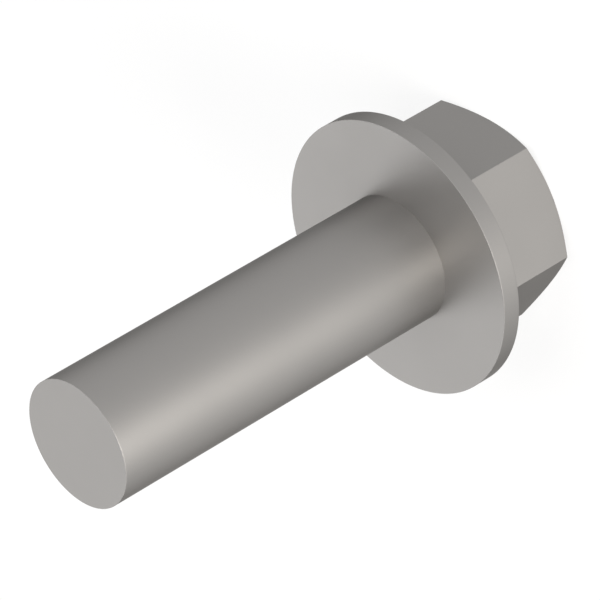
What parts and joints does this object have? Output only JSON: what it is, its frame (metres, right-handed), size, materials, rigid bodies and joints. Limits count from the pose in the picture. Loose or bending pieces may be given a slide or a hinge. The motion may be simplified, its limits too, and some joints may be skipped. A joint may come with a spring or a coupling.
{
  "type": "hex flange screw",
  "caption": "Hexagon head screw with an integral round flange and a plain cylindrical shank with a flat end.",
  "frame": {"origin": "centre of the flange's bearing face, on the axis of the shank", "axes": "+Z along the shank towards its flat end, with the head below, as the screw stands on its head; +X square to one flat of the hexagon; +Y through one corner"},
  "size_m": [0.035, 0.035, 0.0654],
  "materials": {
    "satin_steel": "smooth satin bare steel, warm grey, no plating or marks"
  },
  "bodies": {
    "root": {"flange_screw": "satin_steel"}
  },
  "joints": []
}
